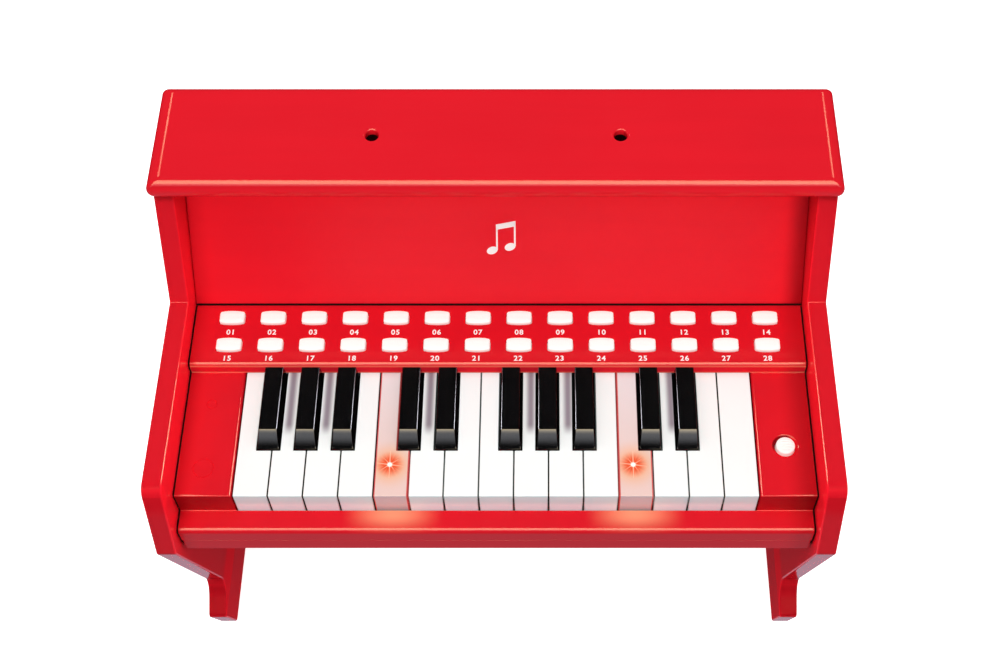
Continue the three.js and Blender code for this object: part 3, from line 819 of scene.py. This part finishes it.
# battery door recess, loudspeaker slots and screw wells in the underside
c = bmesh.new()
loft(c, [rect_ring(-60, 60, -190, -120, z, 3, 4) for z in (CON_BOTTOM - 2, CON_BOTTOM + 1.6)])
for k in range(9):
    x = 100 + 6 * k
    hw = math.sqrt(max(0, 27 ** 2 - (6 * (k - 4)) ** 2))
    loft(c, [rect_ring(x - 1.2, x + 1.2, -155 - hw, -155 + hw, z, 1.1, 4) for z in (CON_BOTTOM - 2, CON_BOTTOM + 2)])
for x in (-180, 0, 180):
    for y in (-236, -92):
        loft(c, [circle_ring(x, y, z, q, 28) for q, z in ((3.6, CON_BOTTOM + 4), (3.6, CON_BOTTOM + 0.5), (4.2, CON_BOTTOM - 1))])
boolean(lower, c)
bm = bmesh.new()
loft(bm, [rect_ring(-59.6 + i, 59.6 - i, -189.6 + i, -120.4 - i, z, 2.8, 4) for i, z in ((0.5, CON_BOTTOM + 0.15), (0, CON_BOTTOM + 0.6), (0, CON_BOTTOM + 1.55))])
for k in range(5):
    y = -184 + 2.6 * k
    loft(bm, [rect_ring(-9 + i, 9 - i, y - 0.6 + i, y + 0.6 - i, z, 0.3, 2) for i, z in ((0.25, CON_BOTTOM + 0.02), (0, CON_BOTTOM + 0.3))])
finish_mesh("battery_door", bm, mat=mat_console)
bm = bmesh.new()
for x in (-180, 0, 180):
    for y in (-236, -92):
        loft(bm, [circle_ring(x, y, z, q, 24) for q, z in ((2.4, CON_BOTTOM + 2.2), (2.9, CON_BOTTOM + 2.5), (2.9, CON_BOTTOM + 3.9))])
finish_mesh("lower_shell_screws", bm, mat=mat_steel)

# ---- dark strips of painted shadow that close the gaps along the console and under the board ---
strip_line = rounded([
    (SLIP_FRONT + 3.0, CON_BOTTOM + 1.5), (SLIP_FRONT + 0.9, SEAM_Z - 3), (SLIP_FRONT + 0.7, LEDGE_Z - 0.6, 3.0, 6), (BLOCK_FRONT + 0.6, LEDGE_Z - 0.6, 0.5, 2),
    (BLOCK_FRONT + 0.6, BLOCK_Z - 0.6, 1.2, 4), (PANEL_FRONT + 0.5, BLOCK_Z - 0.6, 0.5, 2), (PANEL_FRONT + 0.5, PANEL_Z - 0.5, 3.2, 6),
    (-98.5, PANEL_Z - 0.5), (-98.5, CON_BOTTOM + 1.5),
])
bm = bmesh.new()
for s in (-1, 1):
    prism_x(bm, strip_line, s * (CON + 0.06), s * (INNER - 0.06))
finish_mesh("gap_felt_ends", bm, mat=mat_gap_shadow, smooth=False, weighted=False)
bm = bmesh.new()
prism_x(bm, [(-98.3, PANEL_Z + 0.06), (-97.0, PANEL_Z + 0.06), (-97.0, PANEL_Z + 0.26), (-97.45, PANEL_Z + 0.85), (-98.3, PANEL_Z + 0.55)], -INNER + 0.4, INNER - 0.4)
finish_mesh("gap_felt_board", bm, mat=mat_gap_shadow, smooth=False, weighted=False)

# ---- keys ----------------------------------------------------------------------------------
half_notch = B_W / 2 + 0.8
for i in range(KEY_N):
    x0, x1 = joint_x(i) + KGAP / 2, joint_x(i + 1) - KGAP / 2
    n0, n1 = x0, x1
    for j, (k, s) in enumerate(BLACKS):
        if k == i:
            n0 = BLACK_X[j] + half_notch
        if k == i + 1:
            n1 = BLACK_X[j] - half_notch
    yn = B_FRONT - 0.8
    ys = KEY_FRONT + 4
    bm = bmesh.new()
    V = lambda x, y, z=KEY_BOTTOM: bm.verts.new(P(x, y, z))
    f0, f1, g0, g1 = V(x0, KEY_FRONT), V(x1, KEY_FRONT), V(x0, ys), V(x1, ys)
    outline = [g0, g1, V(x1, yn)]
    if n1 != x1:
        outline.append(V(n1, yn))
    outline += [V(n1, KEY_BACK), V(n0, KEY_BACK)]
    if n0 != x0:
        outline.append(V(n0, yn))
    outline.append(V(x0, yn))
    strip = bm.faces.new([f0, f1, g1, g0])
    rest = bm.faces.new(outline)
    up = bmesh.ops.extrude_face_region(bm, geom=[strip, rest], use_keep_orig=True)
    bmesh.ops.translate(bm, verts=[v for v in up["geom"] if isinstance(v, bmesh.types.BMVert)], vec=(0, 0, (KEY_TOP - KEY_BOTTOM) * 0.001))
    down = bmesh.ops.extrude_discrete_faces(bm, faces=[strip])
    bmesh.ops.translate(bm, verts=list(down["faces"][0].verts), vec=(0, 0, (SKIRT - KEY_BOTTOM) * 0.001))
    bmesh.ops.recalc_face_normals(bm, faces=bm.faces)
    bmesh.ops.dissolve_limit(bm, angle_limit=math.radians(1), verts=bm.verts, edges=bm.edges)
    zt = (KEY_TOP - 0.01) * 0.001
    yb = (KEY_BACK + D / 2 - 1) * 0.001
    bevel_sharp(bm, 0.55, 4, 40, only=lambda e: (all(v.co.z > zt for v in e.verts) or (abs(e.verts[0].co.y - e.verts[1].co.y) < 1e-6 and abs(e.verts[0].co.x - e.verts[1].co.x) < 1e-6 and min(v.co.y for v in e.verts) < (yn + D / 2 + 1) * 0.001)) and max(v.co.y for v in e.verts) < yb + 0.02)
    name = "white_key_%02d" % (i + 1)
    finish_mesh("key_" + name, bm, mat=lit_material(i) if i in LIT else mat_white, body=name, node=name)

for j, x in enumerate(BLACK_X):
    bm = bmesh.new()
    b, t = B_W / 2, B_T / 2
    zt = KEY_TOP + B_H
    # the front slope, very slightly crowned
    p0, p1 = Vector((B_FRONT + B_SLOPE, zt)), Vector((B_FRONT, KEY_TOP + 0.2))
    out = Vector((-(p0 - p1).y, (p0 - p1).x)).normalized()
    slope = [tuple(p0.lerp(p1, k / 6) + out * 0.42 * (1 - (k / 3 - 1) ** 2)) for k in range(7)]
    prism_x(bm, [
        (B_FRONT, KEY_BOTTOM), (KEY_BACK, KEY_BOTTOM), (KEY_BACK, KEY_TOP - 1), (B_BACK, KEY_TOP - 1),
        (B_BACK, zt),
    ] + slope, x - b, x + b)
    bmesh.ops.bisect_plane(bm, geom=list(bm.verts) + list(bm.edges) + list(bm.faces), plane_co=(0, 0, (KEY_TOP + 0.2) * 0.001), plane_no=(0, 0, 1))
    for v in bm.verts:
        h = (v.co.z * 1000 - KEY_TOP - 0.2) / (B_H - 0.2)
        if h > 0:
            s = 1 + (t / b - 1) * min(1, h)
            v.co.x = x * 0.001 + (v.co.x - x * 0.001) * s
    bevel_sharp(bm, 0.5, 4, 24, only=lambda e: min(v.co.z for v in e.verts) > (KEY_TOP - 0.5) * 0.001)
    name = "black_key_%02d" % (j + 1)
    finish_mesh("key_" + name, bm, mat=mat_black, body=name, node=name)

# ---- buttons -------------------------------------------------------------------------------
for r_i, y in enumerate(ROWS):
    for i in range(14):
        x = (i - 6.5) * BTN_PITCH
        bm = bmesh.new()
        rr = 1.0
        lv = [(0.9, PANEL_Z - 4.6), (0.9, PANEL_Z - 3.3), (0.0, PANEL_Z - 3.25), (0.0, BTN_TOP - 0.35 - rr)]
        lv += [(-rr * (1 - math.cos(math.radians(w))), BTN_TOP - 0.35 - rr + rr * math.sin(math.radians(w))) for w in (15, 30, 45, 60, 75, 90)]
        lv += [(-2.0, BTN_TOP - 0.12), (-3.2, BTN_TOP)]
        loft(bm, [barrel_ring(x, y, z, k) for k, z in lv])
        name = "panel_button_%s%02d" % ("ab"[r_i], i + 1)
        ob = finish_mesh("cap_" + name, bm, mat=mat_button, body=name, node=name)
bm = bmesh.new()
lv = [(POWER_D / 2 + 1.4, BLOCK_Z - 4.9), (POWER_D / 2 + 1.4, BLOCK_Z - 3.4), (POWER_D / 2, BLOCK_Z - 3.35), (POWER_D / 2, POWER_TOP - 1.5)]
lv += [(POWER_D / 2 - 1.3 * (1 - math.cos(math.radians(w))), POWER_TOP - 1.5 + 0.95 * math.sin(math.radians(w))) for w in (15, 30, 45, 60, 75)]
lv += [(3.6, POWER_TOP - 0.52), (2.4, POWER_TOP - 0.40), (1.2, POWER_TOP - 0.33), (0.3, POWER_TOP - 0.30)]
loft(bm, [circle_ring(POWER_X, POWER_Y, z, q, 64) for q, z in lv])
# low ribs across its top
for k in range(-2, 3):
    half = math.sqrt((POWER_D / 2 - 1.5) ** 2 - (k * 1.75) ** 2)
    rings = []
    for t in (-1.0, -0.97, -0.9, -0.6, 0.0, 0.6, 0.9, 0.97, 1.0):
        high = 0.40 * math.sqrt(max(0.0, 1.0 - t ** 8)) * (1.0 - 0.045 * k * k) + 0.02
        x = POWER_X + t * half
        rings.append([P(x, POWER_Y + k * 1.75 + 0.52 * math.cos(math.radians(w)), POWER_TOP - 0.42 - 0.05 * (k * k + 2 * t * t) / 2 + high * math.sin(math.radians(w))) for w in range(0, 360, 30)])
    loft(bm, rings)
finish_mesh("cap_power_button", bm, mat=mat_power, body="power_button", node="power_button")

# ---- printed marks: plain numerals under the buttons, and a pair of notes -------------------


def text_mesh(text, size, target, to_world):
    cu = bpy.data.curves.new("t", "FONT")
    cu.body = text
    cu.size = size
    cu.align_x = "CENTER"
    cu.space_character = 1.16
    cu.offset = size * 0.022
    cu.resolution_u = 4
    ob = bpy.data.objects.new("t", cu)
    bpy.context.scene.collection.objects.link(ob)
    me = bpy.data.meshes.new_from_object(ob.evaluated_get(bpy.context.evaluated_depsgraph_get()))
    bpy.data.objects.remove(ob)
    me.transform(to_world)
    target.from_mesh(me)
    bpy.data.meshes.remove(me)


bm = bmesh.new()
for r_i, yl in enumerate((-118.9, -138.2)):
    for i in range(14):
        x = (i - 6.5) * BTN_PITCH - (0.4 if r_i else 0)
        number = i + 1 + 14 * r_i
        text_mesh("%02d" % number, 0.0051, bm, Matrix.Translation(P(x, yl - 1.3, PANEL_Z + 0.03)))
up = bmesh.ops.extrude_face_region(bm, geom=list(bm.faces), use_keep_orig=True)
bmesh.ops.translate(bm, verts=[v for v in up["geom"] if isinstance(v, bmesh.types.BMVert)], vec=(0, 0, 0.00003))
finish_mesh("panel_numerals", bm, smooth=False, weighted=False, mat=mat_ink)

# frame of the leaning board: u across, w up the slope, n out of its face
ux = Vector((1, 0, 0))
wv = Vector((0, 58.4, 82.9)).normalized()
nv = ux.cross(wv)
nv = -nv if nv.y > 0 else nv


def on_board(u, w, lift=0.03):
    base = P(0, -97.4, PANEL_Z + 0.3)
    return base + ux * u * 0.001 + wv * w * 0.001 + nv * lift * 0.001


def flat(bm, pts):
    """a thin printed shape on the leaning board from (across, up) points"""
    loft(bm, [[on_board(u, w, l) for u, w in pts] for l in (0.03, 0.09)])


bm = bmesh.new()
cx, cy, q = 1.6, 41.6, 1.17
for dx, dy in ((-4.6, -4.6), (5.0, -2.6)):
    pts = []
    for k in range(28):
        a = 2 * math.pi * k / 28
        ex, ey = 3.0 * math.cos(a), 2.1 * math.sin(a)
        c, s = math.cos(math.radians(20)), math.sin(math.radians(20))
        pts.append((cx + q * (dx + ex * c - ey * s), cy + q * (dy + ex * s + ey * c)))
    flat(bm, pts)
    flat(bm, [(cx + q * (dx + a), cy + q * (dy + b)) for a, b in ((2.15, 0.4), (3.05, 0.4), (3.05, 13.4), (2.15, 13.4))])
flat(bm, [(cx + q * a, cy + q * b) for a, b in ((-4.6 + 2.15, 7.0), (5.0 + 3.05, 9.0), (5.0 + 3.05, 12.0), (-4.6 + 2.15, 10.0))])
finish_mesh("board_print_notes", bm, smooth=False, weighted=False, mat=mat_ink)

FILL_LOW, FILL_HORIZON, FILL_HIGH, FILL_SIDES, FILL_REAR, KEY_POWER = 0.18, 0.20, 0.50, 1.2, 0.35, 1.32

# ---- floor, light and camera ---------------------------------------------------------------
me = bpy.data.meshes.new("floor")
me.from_pydata([(-8, -8, 0), (8, -8, 0), (8, 8, 0), (-8, 8, 0)], [], [(0, 1, 2, 3)])
floor = bpy.data.objects.new("floor", me)
bpy.context.scene.collection.objects.link(floor)
fm = Nodes("pale_floor")
fn = fm.noise(3, 2)
fm.set(Base_Color=fm.mix(fm.ramp(fn, 0.3, 0.7), (0.90, 0.90, 0.90), (0.92, 0.92, 0.92)), Roughness=1.0, Emission_Color=(1, 1, 1), Emission_Strength=0.80)
fm.bsdf.inputs["Specular IOR Level"].default_value = 0.0
me.materials.append(fm.mat)
floor.visible_diffuse = False
floor.visible_glossy = False

world = bpy.data.worlds.new("studio")
bpy.context.scene.world = world
world.use_nodes = True
wt = world.node_tree
wt.nodes.clear()


class W:
    @staticmethod
    def n(kind, **kw):
        n = wt.nodes.new(kind)
        for k, v in kw.items():
            setattr(n, k, v)
        return n

    @staticmethod
    def m(op, a, b=None, clamp=False):
        n = W.n("ShaderNodeMath", operation=op, use_clamp=clamp)
        for i, v in enumerate((a, b)):
            if v is None:
                continue
            if hasattr(v, "links"):
                wt.links.new(v, n.inputs[i])
            else:
                n.inputs[i].default_value = v
        return n.outputs[0]

    @staticmethod
    def dot(a, v):
        n = W.n("ShaderNodeVectorMath", operation="DOT_PRODUCT")
        wt.links.new(a, n.inputs[0])
        n.inputs[1].default_value = v
        return n.outputs["Value"]

    @staticmethod
    def ramp(v, lo, hi, a, b):
        n = W.n("ShaderNodeMapRange", interpolation_type="SMOOTHSTEP")
        wt.links.new(v, n.inputs[0])
        for i, q in enumerate((lo, hi, a, b)):
            n.inputs[i + 1].default_value = q
        return n.outputs[0]


direction = W.n("ShaderNodeTexCoord").outputs["Generated"]


def softbox(az, el, wide, high, edge, power):
    """a soft-edged panel in the sky: azimuth from the player's side (+ to the right), elevation, half sizes in degrees"""
    a, e = math.radians(az), math.radians(el)
    c = Vector((math.sin(a) * math.cos(e), -math.cos(a) * math.cos(e), math.sin(e)))
    t = Vector((math.cos(a), math.sin(a), 0))
    u = t.cross(c) * -1
    w = W.dot(direction, c)
    w1 = W.m("MAXIMUM", w, 0.02)
    x = W.m("ABSOLUTE", W.m("DIVIDE", W.dot(direction, t), w1))
    y = W.m("ABSOLUTE", W.m("DIVIDE", W.dot(direction, u), w1))
    tw, th = math.tan(math.radians(wide)), math.tan(math.radians(high))
    mx = W.ramp(x, tw * (1 - edge), tw * (1 + edge), 1, 0)
    my = W.ramp(y, th * (1 - edge), th * (1 + edge), 1, 0)
    return W.m("MULTIPLY", W.m("MULTIPLY", W.m("MULTIPLY", mx, my), W.m("GREATER_THAN", w, 0.03)), power)


path = W.n("ShaderNodeLightPath")
dz = W.dot(direction, (0, 0, 1))
front = W.dot(direction, (0, -1, 0))

# soft fill for matt surfaces
dx = W.m("ABSOLUTE", W.dot(direction, (1, 0, 0)))
rear = W.m("MAXIMUM", W.m("MULTIPLY", front, -1.0), 0.0)
sky = W.m("ADD", W.m("MULTIPLY", W.m("MAXIMUM", dz, 0.0), FILL_HIGH), W.ramp(dz, -0.12, 0.12, FILL_LOW, FILL_HORIZON))
sides = W.m("MULTIPLY", W.m("MULTIPLY", W.m("POWER", dx, 4.0), W.ramp(dz, 0.0, 0.3, 1.0, 0.15)), FILL_SIDES)
fill = W.m("ADD", W.m("ADD", sky, sides), W.m("MULTIPLY", rear, FILL_REAR))

# what the gloss reflects: panels of light in front and behind, a dim room, a lilac floor in front
panels = [
    (-10, 65, 34, 17, 0.40, 8.5),
    (-146, 40.8, 2.6, 2.6, 0.5, 8.5),
    (146, 40.8, 2.6, 2.6, 0.5, 8.5),
]
total = None
for b in panels:
    q = softbox(*b)
    total = q if total is None else W.m("ADD", total, q)


def tint(v, colour):
    n = W.n("ShaderNodeVectorMath", operation="SCALE")
    n.inputs[0].default_value = colour
    wt.links.new(v, n.inputs["Scale"])
    return n.outputs[0]


def plus(a, b):
    n = W.n("ShaderNodeVectorMath", operation="ADD")
    wt.links.new(a, n.inputs[0])
    wt.links.new(b, n.inputs[1])
    return n.outputs[0]


low = W.m("MULTIPLY", W.ramp(dz, -0.9, -0.15, 1.25, 0.30), W.ramp(front, -0.33, -0.20, 0.06, 1.0))
low = W.m("MULTIPLY", low, W.ramp(front, -0.10, 0.25, 1.0, 0.48))
low = W.m("MULTIPLY", low, W.m("LESS_THAN", dz, 0.0))
room = W.m("ADD", W.m("MULTIPLY", W.m("GREATER_THAN", dz, 0.0), 0.03), softbox(0, 42, 50, 11, 0.8, 1.6))
gloss = plus(plus(tint(total, (1.0, 0.80, 0.50)), tint(low, (0.44, 0.355, 0.44))), tint(room, (1.0, 1.0, 1.0)))

mixer = W.n("ShaderNodeMix", data_type="VECTOR")
wt.links.new(path.outputs["Is Glossy Ray"], mixer.inputs[0])
wt.links.new(tint(fill, (1.0, 1.0, 1.0)), mixer.inputs[4])
wt.links.new(gloss, mixer.inputs[5])
mixer2 = W.n("ShaderNodeMix", data_type="VECTOR")
wt.links.new(path.outputs["Is Camera Ray"], mixer2.inputs[0])
wt.links.new(mixer.outputs[1], mixer2.inputs[4])
mixer2.inputs[5].default_value = (1.0, 1.0, 1.0)
bg = W.n("ShaderNodeBackground")
wt.links.new(mixer2.outputs[1], bg.inputs[0])
wo = W.n("ShaderNodeOutputWorld")
wt.links.new(bg.outputs[0], wo.inputs[0])
world.cycles.sampling_method = "NONE"


def sun(name, az, el, size, strength, colour=(1, 1, 1)):
    """a soft distant light; azimuth from the player's side (+ to the right)"""
    li = bpy.data.lights.new(name, "SUN")
    li.angle = math.radians(size)
    li.energy = strength
    li.color = colour
    o = bpy.data.objects.new(name, li)
    bpy.context.scene.collection.objects.link(o)
    a, e = math.radians(az), math.radians(el)
    d = Vector((math.sin(a) * math.cos(e), -math.cos(a) * math.cos(e), math.sin(e)))
    o.rotation_euler = d.to_track_quat("Z", "Y").to_euler()
    o.visible_glossy = False
    return o


key = sun("key_light", -10, 68, 26, KEY_POWER)
# a low frontal light for the leaning board alone, which the lid would otherwise keep in shadow
board_light = sun("board_light", 0, 16, 18, 1.55)
only = bpy.data.collections.new("lit_by_board_light")
for o in bpy.data.objects:
    if o.name in ("board_upper_front",):
        only.objects.link(o)
board_light.light_linking.receiver_collection = only
rest = bpy.data.collections.new("lit_by_key_light")
rest.objects.link(bpy.data.objects["board_upper_front"])
rest.collection_objects[0].light_linking.link_state = "EXCLUDE"
key.light_linking.receiver_collection = rest
# the white keys and buttons don't mirror in the red lacquer
for o in bpy.data.objects:
    if o.name.startswith(("key_white", "cap_", "panel_numerals")):
        o.visible_glossy = False
# low side lights for the inner walls: each one lights only the board across from it
for name, az, target in (("wall_light_right", 90, "board_left_side_panel"), ("wall_light_left", -90, "board_right_side_panel")):
    c = bpy.data.collections.new("lit_by_" + name)
    c.objects.link(bpy.data.objects[target])
    sun(name, az, 11, 14, 1.5).light_linking.receiver_collection = c

# rim lights that only glint in the gloss: along the inner edge of each arm, of each end block and of the black keys
BLACK_NAMES = sorted(o.name for o in bpy.data.objects if o.name.startswith("key_black"))
WARM, GREY = (1.0, 0.80, 0.55), (0.96, 0.95, 1.0)
for name, az, el, size, power, colour, shadow, targets in (
    ("rim_left_arm", 122, 22, 30, 5.0, WARM, False, ("board_left_side_panel",)),
    ("rim_right_arm", -122, 22, 30, 5.0, WARM, False, ("board_right_side_panel",)),
    ("rim_left_block", 124, 30, 20, 1.6, WARM, True, ("console_upper_shell",)),
    ("rim_right_block", -124, 30, 20, 1.6, WARM, True, ("console_upper_shell",)),
    ("rim_left_keys", 122, 22, 44, 24.0, GREY, False, BLACK_NAMES[:5]),
    ("rim_right_keys", -122, 22, 44, 24.0, GREY, False, BLACK_NAMES[5:]),
):
    c = bpy.data.collections.new("lit_by_" + name)
    for t in targets:
        c.objects.link(bpy.data.objects[t])
    o = sun(name, az, el, size, power, colour)
    o.data.use_shadow = shadow
    o.visible_diffuse = False
    o.visible_glossy = True
    o.light_linking.receiver_collection = c

cam = bpy.data.cameras.new("camera")
cam.sensor_width = 36
cam.lens = 1489.65 * 36 / 1000
cam.shift_x = -0.04583
cam.shift_y = 0.02596
cam.clip_start = 0.05
cam.clip_end = 50
co = bpy.data.objects.new("camera", cam)
bpy.context.scene.collection.objects.link(co)
co.location = (0.029934, (-624.31 + D / 2) * 0.001, 1.01971)
co.rotation_euler = (math.radians(90 - 58.523), 0, 0)
bpy.context.scene.camera = co
bpy.context.scene.view_settings.view_transform = "Standard"
bpy.context.scene.view_settings.look = "None"
bpy.context.scene.cycles.max_bounces = 6
bpy.context.scene.cycles.diffuse_bounces = 3
bpy.context.scene.cycles.glossy_bounces = 3
bpy.context.scene.cycles.sample_clamp_indirect = 3.0
